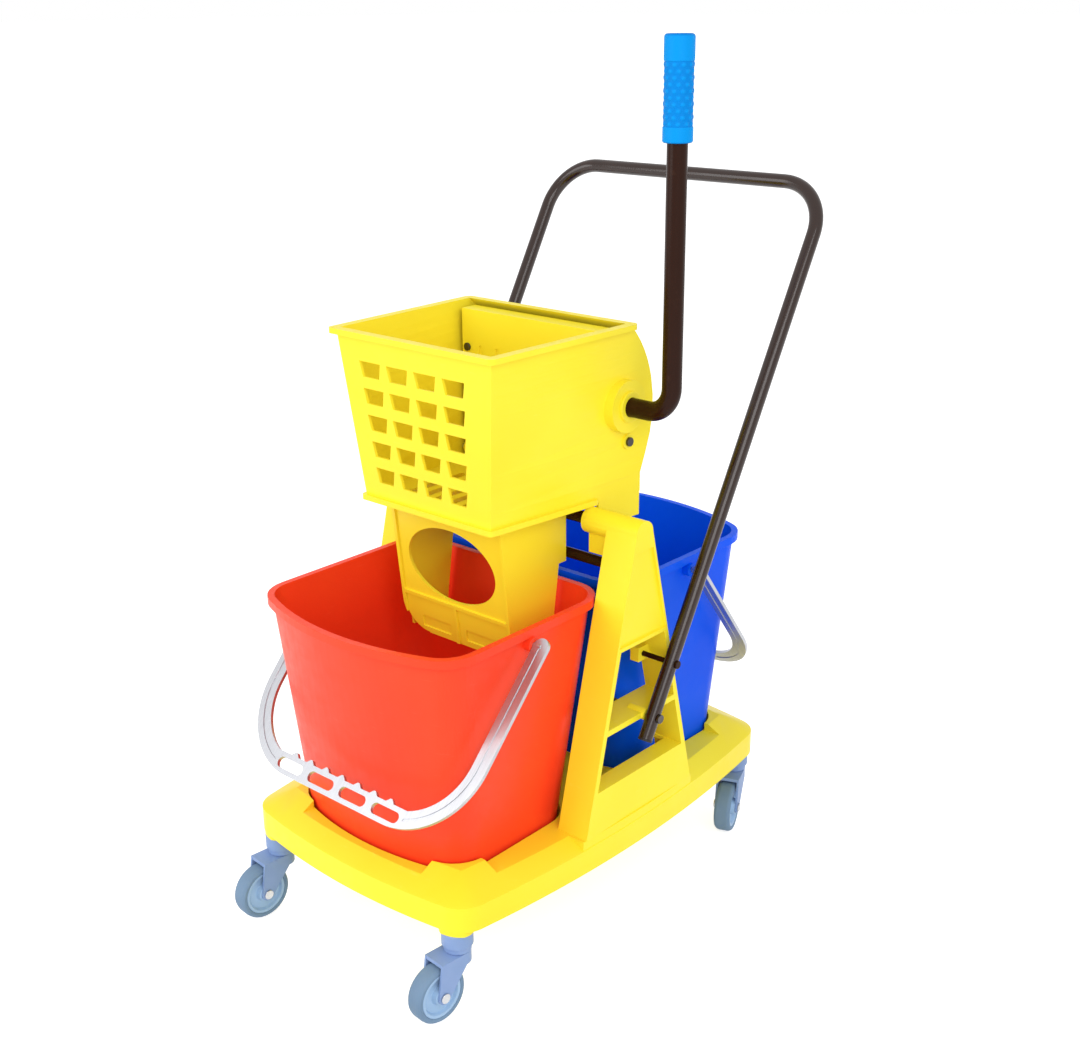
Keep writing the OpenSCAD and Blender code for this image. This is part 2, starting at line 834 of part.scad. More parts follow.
module wheel_hub() {
    bore_r = axle_d / 2 + running_gap;
    rim_r = wheel_core_d / 2;
    boss_r = 11;
    rim_wall = 4;
    half = wheel_w / 2;
    boss_half = fork_inner_half - seat_gap;
    disc_half = half - 6;
    color([0.70, 0.76, 0.86])
    about_axle()
        polygon([
            [bore_r, -boss_half],
            [boss_r, -boss_half],
            [boss_r + 2, -disc_half],
            [rim_r - rim_wall - 2, -disc_half],
            [rim_r - rim_wall, -half + 1],
            [rim_r, -half + 1],
            [rim_r, half - 1],
            [rim_r - rim_wall, half - 1],
            [rim_r - rim_wall - 2, disc_half],
            [boss_r + 2, disc_half],
            [boss_r, boss_half],
            [bore_r, boss_half]
        ]);
}

module wheel_tyre() {
    rim_r = wheel_core_d / 2;
    tread_r = wheel_d / 2;
    half = wheel_w / 2;
    shoulder = 3;
    color(tyre_grey)
    about_axle()
        polygon([
            [rim_r, -half + 1],
            [rim_r + 1.5, -half],
            [tread_r - shoulder, -half],
            [tread_r - 0.6, -half + shoulder],
            [tread_r, -half / 2],
            [tread_r, half / 2],
            [tread_r - 0.6, half - shoulder],
            [tread_r - shoulder, half],
            [rim_r + 1.5, half],
            [rim_r, half - 1]
        ]);
}

module front_left_at() {
    translate([-swivel_x, -swivel_y, 0])
        rotate([0, 0, front_turn])
        children();
}

module front_right_at() {
    translate([swivel_x, -swivel_y, 0])
        rotate([0, 0, front_turn])
        children();
}

module rear_left_at() {
    translate([-swivel_x, swivel_y, 0])
        rotate([0, 0, rear_left_turn])
        children();
}

module rear_right_at() {
    translate([swivel_x, swivel_y, 0])
        rotate([0, 0, rear_right_turn])
        children();
}

// Bucket standing on the -Y side
module bucket_shell() {
    rim_grow = bucket_lip_w;
    ear_d = bail_pin_d + 12;
    pin_depth = 9;
    difference() {
        union() {
            hull() {
                translate([0, 0, bucket_z])
                    linear_extrude(slab)
                    bucket_plan(0);
                translate([0, 0, bucket_rim_z - slab])
                    linear_extrude(slab)
                    bucket_plan(1);
            }
            translate([0, 0, bucket_rim_z - bucket_lip_h])
                linear_extrude(bucket_lip_h)
                bucket_plan(1, rim_grow);
            x_rod(-ear_x, ear_x, -bail_pivot_y, bail_pivot_z, ear_d);
        }
        hull() {
            translate([0, 0, bucket_z + bucket_wall])
                linear_extrude(slab)
                bucket_plan(0, -bucket_wall);
            translate([0, 0, bucket_rim_z])
                linear_extrude(slab)
                bucket_plan(1, -bucket_wall);
        }
        for (s = [0, 1])
            mirror([s, 0, 0])
            x_rod(ear_x - pin_depth, ear_x + slab, -bail_pivot_y, bail_pivot_z,
                bail_pin_d + 2 * running_gap);
    }
}

module red_bucket() {
    color(red)
    bucket_shell();
}

module blue_bucket() {
    color(blue)
    mirror([0, 1, 0])
    bucket_shell();
}

// Strap of a bail in its own plane: X across, Y from the pivot down to the grip
module bail_strap(w) {
    bend_x = bail_half - bail_draw_in - bail_bend_r;
    bend_y = bail_reach - bail_bend_r;
    for (s = [0, 1])
        mirror([s, 0]) {
            polygon([
                [bail_half - w / 2, 0],
                [bail_half + w / 2, 0],
                [bail_half - bail_draw_in + w / 2, bend_y],
                [bail_half - bail_draw_in - w / 2, bend_y]
            ]);
            translate([bend_x, bend_y])
                intersection() {
                    difference() {
                        circle(r = bail_bend_r + w / 2, $fn = 96);
                        circle(r = bail_bend_r - w / 2, $fn = 96);
                    }
                    square(2 * bail_bend_r);
                }
        }
    translate([-bend_x, bail_reach - w / 2])
        square([2 * bend_x, w]);
}

module grip_slot() {
    end_x = (grip_slot_len - grip_slot_h) / 2;
    for (s = [-1, 1])
        translate([s * end_x, 0])
        circle(d = grip_slot_h);
    square([2 * end_x, grip_slot_h], center = true);
}

grip_pitch = grip_slot_len + grip_bridge;
grip_half = grip_slots * grip_pitch / 2;
grip_top_y = bail_reach + bail_strap_w / 2 - grip_plate_h;
grip_cusp_h = 5;
grip_cusp_half = 8;
grip_cusp_tip = 1.5;

module bail_grip_plate() {
    translate([-grip_half, grip_top_y])
        square([2 * grip_half, bail_reach - grip_top_y]);
    // Cusps between the fingers
    for (i = [1 : 2 * grip_slots - 1])
        translate([(i - grip_slots) * grip_pitch / 2, grip_top_y])
        polygon([
            [-grip_cusp_half, slab],
            [grip_cusp_half, slab],
            [grip_cusp_tip, -grip_cusp_h],
            [-grip_cusp_tip, -grip_cusp_h]
        ]);
}

module bail(angle) {
    pin_in = ear_x - 8;
    groove_w = 3;
    groove_deep = 1;
    translate([0, -bail_pivot_y, bail_pivot_z])
        rotate([270 - angle, 0, 0]) {
            difference() {
                translate([0, 0, -bail_thick / 2])
                    linear_extrude(bail_thick) {
                        difference() {
                            union() {
                                bail_strap(bail_strap_w);
                                bail_grip_plate();
                            }
                            for (i = [0 : grip_slots - 1])
                                translate([(i - (grip_slots - 1) / 2) * grip_pitch,
                                    grip_top_y + grip_plate_h / 2])
                                grip_slot();
                        }
                        for (s = [-1, 1])
                            translate([s * bail_half, 0])
                            circle(d = bail_strap_w);
                    }
                for (s = [-1, 1])
                    translate([0, 0, s > 0 ? bail_thick / 2 - groove_deep : -bail_thick / 2 - slab])
                    linear_extrude(groove_deep + slab)
                    difference() {
                        bail_strap(groove_w);
                        translate([0, bail_reach])
                            square([2 * grip_half, 2 * grip_plate_h], center = true);
                    }
            }
            for (s = [0, 1])
                mirror([s, 0, 0])
                x_rod(pin_in, bail_half, 0, 0, bail_pin_d);
        }
}

module red_bail() {
    color(bright_metal)
    bail(red_bail_angle);
}

module blue_bail() {
    color(bright_metal)
    mirror([0, 1, 0])
    bail(blue_bail_angle);
}

function hopper_front_half(z) = hopper_front_low
    + (hopper_front_top - hopper_front_low) * (z - seat_z) / hopper_h;

function hopper_front_wall(z) = -hopper_front_y - hopper_front_lean * (z - seat_z) / hopper_h;

bulge_r = 150;
bulge_y = hopper_rear_y + hopper_bulge - bulge_r;
bulge_drop = 8;
bulge_z = shaft_z - bulge_drop;

// The rear wall bulges out in an arc behind the shaft, and leans in above it
function hopper_rear_wall(z) = max(
    hopper_rear_y - hopper_rear_lean * max(0, z - hopper_lean_z) / hopper_lean_drop,
    bulge_y + sqrt(bulge_r * bulge_r - (z - bulge_z) * (z - bulge_z))
);

// Corners of the hopper at one level, from the front left round to the rear left
function hopper_corners(z, inset) = [
    [-hopper_front_half(z) + inset, hopper_front_wall(z) + inset, z],
    [hopper_front_half(z) - inset, hopper_front_wall(z) + inset, z],
    [hopper_rear_half - inset, hopper_rear_wall(z) - inset, z],
    [-hopper_rear_half + inset, hopper_rear_wall(z) - inset, z]
];

// Tapered block with a bulged rear; its side walls twist a little in each band
module hopper_body(inset, z0, z1) {
    levels = concat(
        [for (i = [0 : hopper_bands - 1]) z0 + (hopper_lean_z - z0) * i / hopper_bands],
        [for (i = [0 : hopper_bands]) hopper_lean_z + (z1 - hopper_lean_z) * i / hopper_bands]
    );
    top = 4 * (len(levels) - 1);
    bands = [
        for (a = [0 : 4 : top - 4])
            let (b = a + 4)
            each [
                [a, b, b + 1, a + 1],
                [a + 3, a + 2, b + 2, b + 3],
                [a + 1, b + 1, b + 2],
                [a + 1, b + 2, a + 2],
                [a, b + 3, b],
                [a, a + 3, b + 3]
            ]
    ];
    polyhedron(
        points = [for (z = levels) each hopper_corners(z, inset)],
        faces = concat([[0, 1, 2, 3], [top + 3, top + 2, top + 1, top]], bands)
    );
}

// Flange round the hopper at one level, with rounded corners
module hopper_flange(z, front_half, rear_half, front_y, rear_y, overhang, h) {
    translate([0, 0, z])
        linear_extrude(h)
        offset(r = overhang, $fn = hull_fn)
        polygon([
            [-front_half, front_y],
            [front_half, front_y],
            [rear_half, rear_y],
            [-rear_half, rear_y]
        ]);
}

hopper_bands = 6;
drain_drop = 38;
drain_top_z = rim_z - drain_drop;

module drain_holes() {
    narrow = 4;
    drain_shift = 5;
    front_angle = atan(hopper_front_lean / hopper_h);
    for (i = [0 : drain_cols - 1], j = [0 : drain_rows - 1]) {
        z = drain_top_z - drain_h / 2 - j * drain_pitch_z;
        shrink = hopper_front_half(z) / hopper_front_top;
        x = (i - (drain_cols - 1) / 2) * drain_pitch_x * shrink - drain_shift;
        half = drain_w * shrink / 2;
        translate([x, hopper_front_wall(z), z])
            rotate([90 - front_angle, 0, 0])
            translate([0, 0, -3 * hopper_wall])
            linear_extrude(6 * hopper_wall)
            polygon([
                [-half, drain_h / 2],
                [half, drain_h / 2],
                [half - narrow, -drain_h / 2],
                [narrow - half, -drain_h / 2]
            ]);
    }
}

lip_end_y = 8;
floor_slot_w = 12;
floor_slots = 7;
floor_slot_pitch = 24;
side_screw_y = 68;
side_screw_drop = 50;
side_screw_z = shaft_z - side_screw_drop;
side_screw_d = 5;
side_boss_d = 20;
side_seat_x = hopper_rear_half - slab;
hinge_rod_x = hopper_rear_half - 2 * hopper_wall;

// Half width of the hopper at its seat
function hopper_seat_half(y) = hopper_front_low
    + (hopper_rear_half - hopper_front_low) * (y + hopper_front_y) / (hopper_rear_y + hopper_front_y);

module skirt_plan(inset, y) {
    rear = hopper_rear_y - inset;
    polygon([
        [-hopper_seat_half(y) + inset, y],
        [hopper_seat_half(y) - inset, y],
        [hopper_seat_half(rear) - inset, rear],
        [-hopper_seat_half(rear) + inset, rear]
    ]);
}

module wringer_hopper() {
    skirt_y = socket_r + 3 * seat_gap;
    skirt_inset = 0.5;
    wall_x = hopper_rear_half - 2 * hopper_wall - slab;
    color(yellow)
    difference() {
        union() {
            hopper_body(0, seat_z, rim_z);
            // Rim flange
            hopper_flange(rim_z - hopper_rim_h, hopper_front_top, hopper_rear_half,
                hopper_front_wall(rim_z), hopper_rear_wall(rim_z), hopper_rim_w, hopper_rim_h);
            // Lower lip along the front and part of the sides
            hopper_flange(seat_z, hopper_front_low, hopper_seat_half(lip_end_y), -hopper_front_y, lip_end_y,
                hopper_lip_w, hopper_rim_h);
            // Skirt behind the sockets
            translate([0, 0, seat_z - hopper_skirt_h])
                linear_extrude(hopper_skirt_h + hopper_rim_h / 2)
                difference() {
                    skirt_plan(skirt_inset, skirt_y);
                    skirt_plan(skirt_inset + hopper_wall, skirt_y - slab);
                }
            // Bosses round the shaft, and one below them for each screw
            for (s = [0, 1])
                mirror([s, 0, 0]) {
                    x_rod(wall_x, boss_x, shaft_y, shaft_z, boss_d);
                    x_rod(wall_x, side_seat_x, side_screw_y, side_screw_z, side_boss_d);
                }
        }
        hopper_body(hopper_wall, hopper_floor_z, rim_z + 2 * slab);
        drain_holes();
        throat_screw_places()
            translate([0, 0, -slab])
            cylinder(d = side_screw_d + 2 * running_gap, h = throat_screw_up + 2 * slab);
        // Drain slots in the floor, over the throat
        for (i = [0 : floor_slots - 1])
            translate([(i - (floor_slots - 1) / 2) * floor_slot_pitch - floor_slot_w / 2,
                -throat_front_y + 3 * throat_wall, seat_z - slab])
                cube([floor_slot_w, throat_front_y - 8 * throat_wall, hopper_rim_h + 2 * slab]);
        x_rod(-frame_span, frame_span, shaft_y, shaft_z, 2 * (bush_r + running_gap));
        x_rod(-frame_span, hinge_rod_x + seat_gap, plate_hinge_y, plate_hinge_z,
            hinge_rod_d + 2 * running_gap);
        for (s = [0, 1])
            mirror([s, 0, 0])
            x_rod(wall_x - hopper_wall, frame_span, side_screw_y, side_screw_z,
                side_screw_d + 2 * running_gap);
    }
}

// Side outline of the throat: its rear clears the bucket's inner wall when the bucket is lifted
throat_rear_top = upper_tube_d / 2 + seat_gap;
throat_step_z = bucket_rim_z + red_lift + 2;
throat_clear = 5;
bucket_lean = bucket_inner_lean / bucket_h;

function throat_rear(z) = -bucket_inner_y - bucket_wall - throat_clear
    - (bucket_rim_z + red_lift - z) * bucket_lean;

module throat_outline() {
    foot_y = -throat_front_y + throat_front_lean;
    polygon([
        [-throat_front_y, throat_top_z],
        [foot_y, throat_foot_z],
        [throat_rear(throat_foot_z), throat_foot_z],
        [throat_rear(throat_step_z), throat_step_z],
        [-throat_rear_top, throat_step_z],
        [-throat_rear_top, throat_top_z]
    ]);
}

// Stands an (x, z) outline on the throat's leaning front face
module on_throat_front(depth) {
    lean = atan(throat_front_lean / throat_h);
    translate([0, -throat_front_y, throat_top_z])
        rotate([90 + lean, 0, 0])
        translate([0, 0, -depth / 2])
        linear_extrude(depth)
        children();
}

oval_z = -80;
foot_rib_w = 5;
corner_round = 42;
foot_pocket_h = 24;
foot_pocket_w = 52;

module oval() {
    polygon([for (a = [0 : 6 : 354]) [oval_w / 2 * cos(a), oval_h / 2 * sin(a)]]);
}

module wringer_throat() {
    rib_out = 3;
    front_deep = 4 * throat_wall;
    color(yellow)
    difference() {
        union() {
            difference() {
                side_plate(-throat_half_w, 2 * throat_half_w)
                    throat_outline();
                side_plate(-throat_half_w + throat_wall, 2 * (throat_half_w - throat_wall))
                    translate([throat_wall, 0])
                    throat_inner();
            }
            // Flanges under the hopper's floor
            translate([-throat_half_w - throat_flange_w, -throat_front_y / 2 - throat_flange_len / 2,
                seat_z - throat_flange_h])
                difference() {
                    cube([2 * (throat_half_w + throat_flange_w), throat_flange_len, throat_flange_h]);
                    translate([throat_flange_w + throat_wall / 2, -slab, -slab])
                        cube([2 * throat_half_w - throat_wall, 2 * throat_flange_len, 2 * throat_flange_h]);
                }
            // Raised edge ribs down the front
            on_throat_front(2 * rib_out)
                for (s = [-1, 1])
                    translate([s * (throat_half_w - foot_rib_w / 2) - foot_rib_w / 2, -throat_h])
                    square([foot_rib_w, throat_h - 2]);
            // Ledge and middle rib below the oval
            on_throat_front(2 * rib_out) {
                translate([-throat_half_w, oval_z - oval_h / 2 - 9])
                    square([2 * throat_half_w, foot_rib_w]);
                translate([-foot_rib_w / 2, -throat_h])
                    square([foot_rib_w, throat_h + oval_z - oval_h / 2 - 6]);
            }
        }
        on_throat_front(front_deep)
            translate([0, oval_z])
            oval();
        // Pockets below the ledge
        for (s = [-1, 1])
            on_throat_front(throat_wall)
                translate([s * (foot_pocket_w / 2 + 14) - foot_pocket_w / 2, -throat_h + 7])
                square([foot_pocket_w, foot_pocket_h - 8]);
        // Rounded lower corners of the front
        on_throat_front(front_deep)
            for (s = [0, 1])
                mirror([s, 0])
                difference() {
                    translate([throat_half_w - corner_round, -throat_h - corner_round])
                        square(2 * corner_round);
                    translate([throat_half_w - corner_round, -throat_h + corner_round])
                        circle(r = corner_round);
                    translate([throat_half_w - 2 * corner_round, -throat_h + corner_round])
                        square([2 * corner_round, 2 * corner_round]);
                }
        throat_screw_places()
            cylinder(d = side_screw_d + 2 * running_gap, h = 3 * hopper_rim_h, center = true);
    }
}

// Hollow of the throat, open at the top, the rear and the foot
module throat_inner() {
    foot_y = -throat_front_y + throat_front_lean;
    polygon([
        [-throat_front_y, throat_top_z + 2 * slab],
        [foot_y, throat_foot_z - slab],
        [0, throat_foot_z - slab],
        [0, throat_top_z + 2 * slab]
    ]);
}

throat_flange_w = 13;
throat_flange_h = 4;
throat_flange_len = 60;
throat_screw_up = 5;

module throat_screw_places() {
    for (s = [-1, 1])
        translate([s * (throat_half_w + throat_flange_w / 2), -throat_front_y / 2, seat_z])
        children();
}

module throat_screws() {
    head_d = 9;
    head_h = 3;
    color(dark_metal)
    throat_screw_places()
        translate([0, 0, -throat_flange_h]) {
            cylinder(d = side_screw_d, h = throat_flange_h + throat_screw_up);
            translate([0, 0, -head_h])
                cylinder(d = head_d, h = head_h);
        }
}

// Flanged bushes that carry the shaft in the hopper's walls
module shaft_bushes() {
    inner_x = hopper_rear_half - hopper_wall - 2;
    color(yellow)
    for (s = [0, 1])
        mirror([s, 0, 0])
        difference() {
            union() {
                x_rod(inner_x, boss_x, shaft_y, shaft_z, 2 * bush_r);
                x_rod(boss_x, bush_x, shaft_y, shaft_z, 2 * bush_r + 8);
            }
            x_rod(0, frame_span, shaft_y, shaft_z, lever_d + 2 * running_gap);
        }
}

module bush_screws() {
    head_d = 12;
    head_h = 4;
    screw_len = 10;
    color(dark_metal)
    for (s = [0, 1])
        mirror([s, 0, 0]) {
            x_rod(side_seat_x - screw_len, side_seat_x, side_screw_y, side_screw_z, side_screw_d);
            x_rod(side_seat_x, side_seat_x + head_h, side_screw_y, side_screw_z, head_d);
        }
}

plate_bolt_x = 114;
plate_bolt_up = 144;
plate_bolt_d = 6;
plate_foot = 8;
spring_rings = 8;
spring_mean_r = (shaft_r + seat_gap + spring_wire_d / 2) / cos(180 / spring_rings);
spring_relief_half = 22;
spring_relief_deep = spring_mean_r + spring_wire_d / 2 + seat_gap - shaft_y + plate_back_y;

plate_knuckle_wall = 4;
plate_groove_w = 6;
plate_groove_pitch = 30;
plate_groove_deep = 2;
plate_hood_deep = 26;
plate_hood_thick = 5;

module press_plate() {
    knuckle_d = hinge_rod_d + 2 * plate_knuckle_wall;
    color(yellow)
    difference() {
        union() {
            translate([-plate_half_w, plate_front_y, plate_hinge_z - plate_foot])
                cube([2 * plate_half_w, plate_thick, plate_h + plate_foot]);
            x_rod(-plate_half_w, plate_half_w, plate_hinge_y, plate_hinge_z, knuckle_d);
            // Hood over the cams
            translate([-plate_half_w, plate_front_y, plate_hinge_z + plate_h - plate_hood_thick])
                cube([2 * plate_half_w, plate_hood_deep, plate_hood_thick]);
        }
        // Drain grooves down the pressing face
        for (i = [-3 : 3])
            translate([i * plate_groove_pitch - plate_groove_w / 2, plate_front_y - slab, plate_hinge_z + 2 * knuckle_d])
            cube([plate_groove_w, plate_groove_deep + slab, plate_h - 5 * knuckle_d]);
        // Relief round the return spring
        translate([-spring_relief_half, plate_back_y - spring_relief_deep, shaft_z - spring_relief_half])
            cube([2 * spring_relief_half, spring_relief_deep + slab, 2 * spring_relief_half]);
        x_rod(-frame_span, frame_span, plate_hinge_y, plate_hinge_z, hinge_rod_d + 2 * running_gap);
        for (s = [-1, 1])
            translate([s * plate_bolt_x, 0, plate_hinge_z + plate_bolt_up])
            rotate([-90, 0, 0])
            cylinder(d = plate_bolt_d + 2 * running_gap, h = 2 * plate_back_y);
    }
}

module plate_hinge_rod() {
    color(bright_metal)
    x_rod(-hinge_rod_x, hinge_rod_x, plate_hinge_y, plate_hinge_z, hinge_rod_d);
}

module plate_bolts() {
    head_d = 11;
    head_h = 3;
    color(dark_metal)
    for (s = [-1, 1])
        translate([s * plate_bolt_x, plate_front_y, plate_hinge_z + plate_bolt_up])
        rotate([-90, 0, 0]) {
            translate([0, 0, -head_h])
                cylinder(d = head_d, h = head_h);
            cylinder(d = plate_bolt_d, h = plate_thick);
        }
}

cap_wall = 5;
lever_left_x = -bush_x - 14;

module lever_path(d, past) {
    bend_x = lever_x - lever_bend_r;
    x_rod(lever_left_x - past, bend_x, shaft_y, shaft_z, d);
    translate([bend_x, shaft_y, shaft_z + lever_bend_r])
        rotate([90, 0, 0])
        rotate([0, 0, -90])
        rotate_extrude(angle = 90)
        translate([lever_bend_r, 0])
        circle(d = d);
    translate([lever_x, shaft_y, shaft_z + lever_bend_r])
        cylinder(d = d, h = lever_up - lever_bend_r - cap_wall + past);
}

module lever() {
    tube_wall = 2;
    color(tube_brown)
    difference() {
        lever_path(lever_d, 0);
        lever_path(lever_d - 2 * tube_wall, slab);
    }
}

module lever_grip() {
    edge = 4;
    top = lever_up - edge;
    grip_r = grip_d / 2;
    color(grip_blue)
    translate([lever_x, shaft_y, shaft_z])
        rotate_extrude()
        polygon(concat(
            [
                [shaft_r + running_gap, lever_up - grip_len],
                [grip_r - 1.5, lever_up - grip_len],
                [grip_r, lever_up - grip_len + 1.5]
            ],
            [for (a = [0 : 15 : 90]) [grip_r - edge + edge * cos(a), top + edge * sin(a)]],
            [
                [0, lever_up],
                [0, lever_up - cap_wall + running_gap],
                [shaft_r + running_gap, lever_up - cap_wall + running_gap]
            ]
        ));
}

// Cams that push the plate's upper half when the lever is pushed forward
module press_cams() {
    hub_r = shaft_y - plate_back_y - cam_gap;
    cam_waist_r = cam_nose_r - 2;
    cam_back = 5;
    color(dark_metal)
    for (s = [-1, 1])
        difference() {
            translate([s * cam_x - cam_w / 2, shaft_y, shaft_z])
                rotate([90, 0, 90])
                linear_extrude(cam_w) {
                    circle(r = hub_r);
                    translate([cam_back, 0])
                        circle(r = hub_r + 2);
                    translate([0, cam_len])
                        circle(r = cam_nose_r);
                    polygon([
                        [-cam_waist_r, 0],
                        [hub_r, 0],
                        [cam_nose_r, cam_len],
                        [-cam_waist_r, cam_len]
                    ]);
                }
            x_rod(-frame_span, frame_span, shaft_y, shaft_z, lever_d + 2 * running_gap);
            translate([s * cam_x, shaft_y, shaft_z])
                rotate([-90, 0, 0])
                cylinder(d = cam_screw_d + 2 * running_gap, h = 3 * hub_r);
        }
}

cam_screw_d = 5;
cam_screw_len = 6;

module cam_set_screws() {
    color(bright_metal)
    for (s = [-1, 1])
        translate([s * cam_x, shaft_y + shaft_r + running_gap, shaft_z])
        rotate([-90, 0, 0])
        cylinder(d = cam_screw_d, h = cam_screw_len);
}

module shaft_end_cap() {
    cap_r = shaft_r + 4;
    color(dark_metal)
    difference() {
        x_rod(lever_left_x - 4, -bush_x - seat_gap, shaft_y, shaft_z, 2 * cap_r);
        x_rod(lever_left_x, 0, shaft_y, shaft_z, lever_d + 2 * running_gap);
    }
}

// Return spring: one unbroken wire wound round the shaft, with a tail on the rear wall
spring_sides = 6;
spring_pitch = spring_wire_d + 1;
spring_x = -spring_turns * spring_pitch / 2;
spring_last = spring_turns * spring_rings;
spring_tail = hopper_rear_wall(shaft_z - spring_mean_r) - hopper_wall - shaft_y - 3 * seat_gap;

function spring_point(i) = [
    spring_x + spring_pitch * i / spring_rings,
    spring_mean_r * sin(360 * i / spring_rings),
    -spring_mean_r * cos(360 * i / spring_rings)
];

function spring_ring(i) = [
    for (k = [0 : spring_sides - 1])
        let (
            a = 360 * k / spring_sides,
            out = spring_wire_d / 2 * cos(a),
            turn = 360 * i / spring_rings
        )
        spring_point(i) + [spring_wire_d / 2 * sin(a), out * sin(turn), -out * cos(turn)]
];

function spring_tail_ring(y) = [
    for (k = [0 : spring_sides - 1])
        let (
            a = 360 * k / spring_sides,
            p = spring_point(spring_last)
        )
        [p[0] + spring_wire_d / 2 * sin(a), y, p[2] - spring_wire_d / 2 * cos(a)]
];

module return_spring() {
    rings = concat(
        [for (i = [0 : spring_last]) spring_ring(i)],
        [spring_tail_ring(spring_tail / 2), spring_tail_ring(spring_tail)]
    );
    count = len(rings);
    sides = [
        for (i = [0 : count - 2], k = [0 : spring_sides - 1], half = [0, 1])
            let (
                a = i * spring_sides + k,
                b = i * spring_sides + (k + 1) % spring_sides
            )
            half == 0 ? [a, b, b + spring_sides] : [a, b + spring_sides, a + spring_sides]
    ];
    first_cap = [for (k = [1 : spring_sides - 2]) [0, k + 1, k]];
    last_cap = [
        for (k = [1 : spring_sides - 2])
            let (o = (count - 1) * spring_sides)
            [o, o + k, o + k + 1]
    ];
    echo(least_spring_gap = spring_pitch - spring_wire_d);
    color(bright_metal)
    translate([0, shaft_y, shaft_z])
        polyhedron(points = [for (r = rings, p = r) p], faces = concat(sides, first_cap, last_cap));
}

tray();
left_side_frame();
right_side_frame();
upper_cross_tube();
lower_cross_bar();
frame_screws();
push_handle();
handle_end_plugs();
handle_bolts();
handle_stay_rods();
front_left_at() caster_stem();  // front_left_caster_stem
front_left_at() caster_fork();  // front_left_caster_fork
front_left_at() caster_axle();  // front_left_caster_axle
front_left_at() wheel_hub();  // front_left_wheel_hub
front_left_at() wheel_tyre();  // front_left_wheel_tyre
front_right_at() caster_stem();  // front_right_caster_stem
front_right_at() caster_fork();  // front_right_caster_fork
front_right_at() caster_axle();  // front_right_caster_axle
front_right_at() wheel_hub();  // front_right_wheel_hub
front_right_at() wheel_tyre();  // front_right_wheel_tyre
rear_left_at() caster_stem();  // rear_left_caster_stem
rear_left_at() caster_fork();  // rear_left_caster_fork
rear_left_at() caster_axle();  // rear_left_caster_axle
rear_left_at() wheel_hub();  // rear_left_wheel_hub
rear_left_at() wheel_tyre();  // rear_left_wheel_tyre
rear_right_at() caster_stem();  // rear_right_caster_stem
rear_right_at() caster_fork();  // rear_right_caster_fork
rear_right_at() caster_axle();  // rear_right_caster_axle
rear_right_at() wheel_hub();  // rear_right_wheel_hub
rear_right_at() wheel_tyre();  // rear_right_wheel_tyre
red_bucket();
red_bail();
blue_bucket();
blue_bail();
wringer_hopper();
wringer_throat();
throat_screws();
shaft_bushes();
bush_screws();
press_plate();
plate_hinge_rod();
plate_bolts();
lever();
lever_grip();
press_cams();
cam_set_screws();
shaft_end_cap();
return_spring();
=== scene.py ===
import json
import math

import bmesh
import bpy
from mathutils import Matrix, Vector


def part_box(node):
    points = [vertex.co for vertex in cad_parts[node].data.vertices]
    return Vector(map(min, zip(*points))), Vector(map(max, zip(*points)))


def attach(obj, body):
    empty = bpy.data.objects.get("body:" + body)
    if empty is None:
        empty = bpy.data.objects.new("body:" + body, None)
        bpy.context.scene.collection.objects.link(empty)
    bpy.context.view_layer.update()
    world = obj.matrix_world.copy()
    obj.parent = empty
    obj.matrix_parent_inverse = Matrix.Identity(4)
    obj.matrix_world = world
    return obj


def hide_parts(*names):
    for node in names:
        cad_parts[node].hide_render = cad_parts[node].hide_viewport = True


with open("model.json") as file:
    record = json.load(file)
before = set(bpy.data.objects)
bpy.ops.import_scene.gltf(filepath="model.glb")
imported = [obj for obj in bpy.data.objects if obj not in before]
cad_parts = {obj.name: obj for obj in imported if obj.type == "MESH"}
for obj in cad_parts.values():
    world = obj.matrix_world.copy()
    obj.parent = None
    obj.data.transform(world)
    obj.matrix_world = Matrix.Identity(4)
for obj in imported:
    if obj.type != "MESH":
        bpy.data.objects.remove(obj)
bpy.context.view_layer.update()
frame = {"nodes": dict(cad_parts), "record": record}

SCENE = bpy.context.scene
NODES = frame["nodes"]
BODY_OF = {node: body for body, nodes in frame["record"]["behaviour"]["bodies"].items() for node in nodes}
SLOT_OF = {part["node"]: part["material_slot"] for part in frame["record"]["subparts"]}
CASTERS = ("front_left", "front_right", "rear_left", "rear_right")
FULL_TURN = 2 * math.pi


# Materials

FULL_RANGE = (0.0, 1.0)
NOISE_MIDDLE = (0.3, 0.7)
# Places of the colour sockets on a Mix node
MIX_A, MIX_B, MIX_RESULT = 6, 7, 2


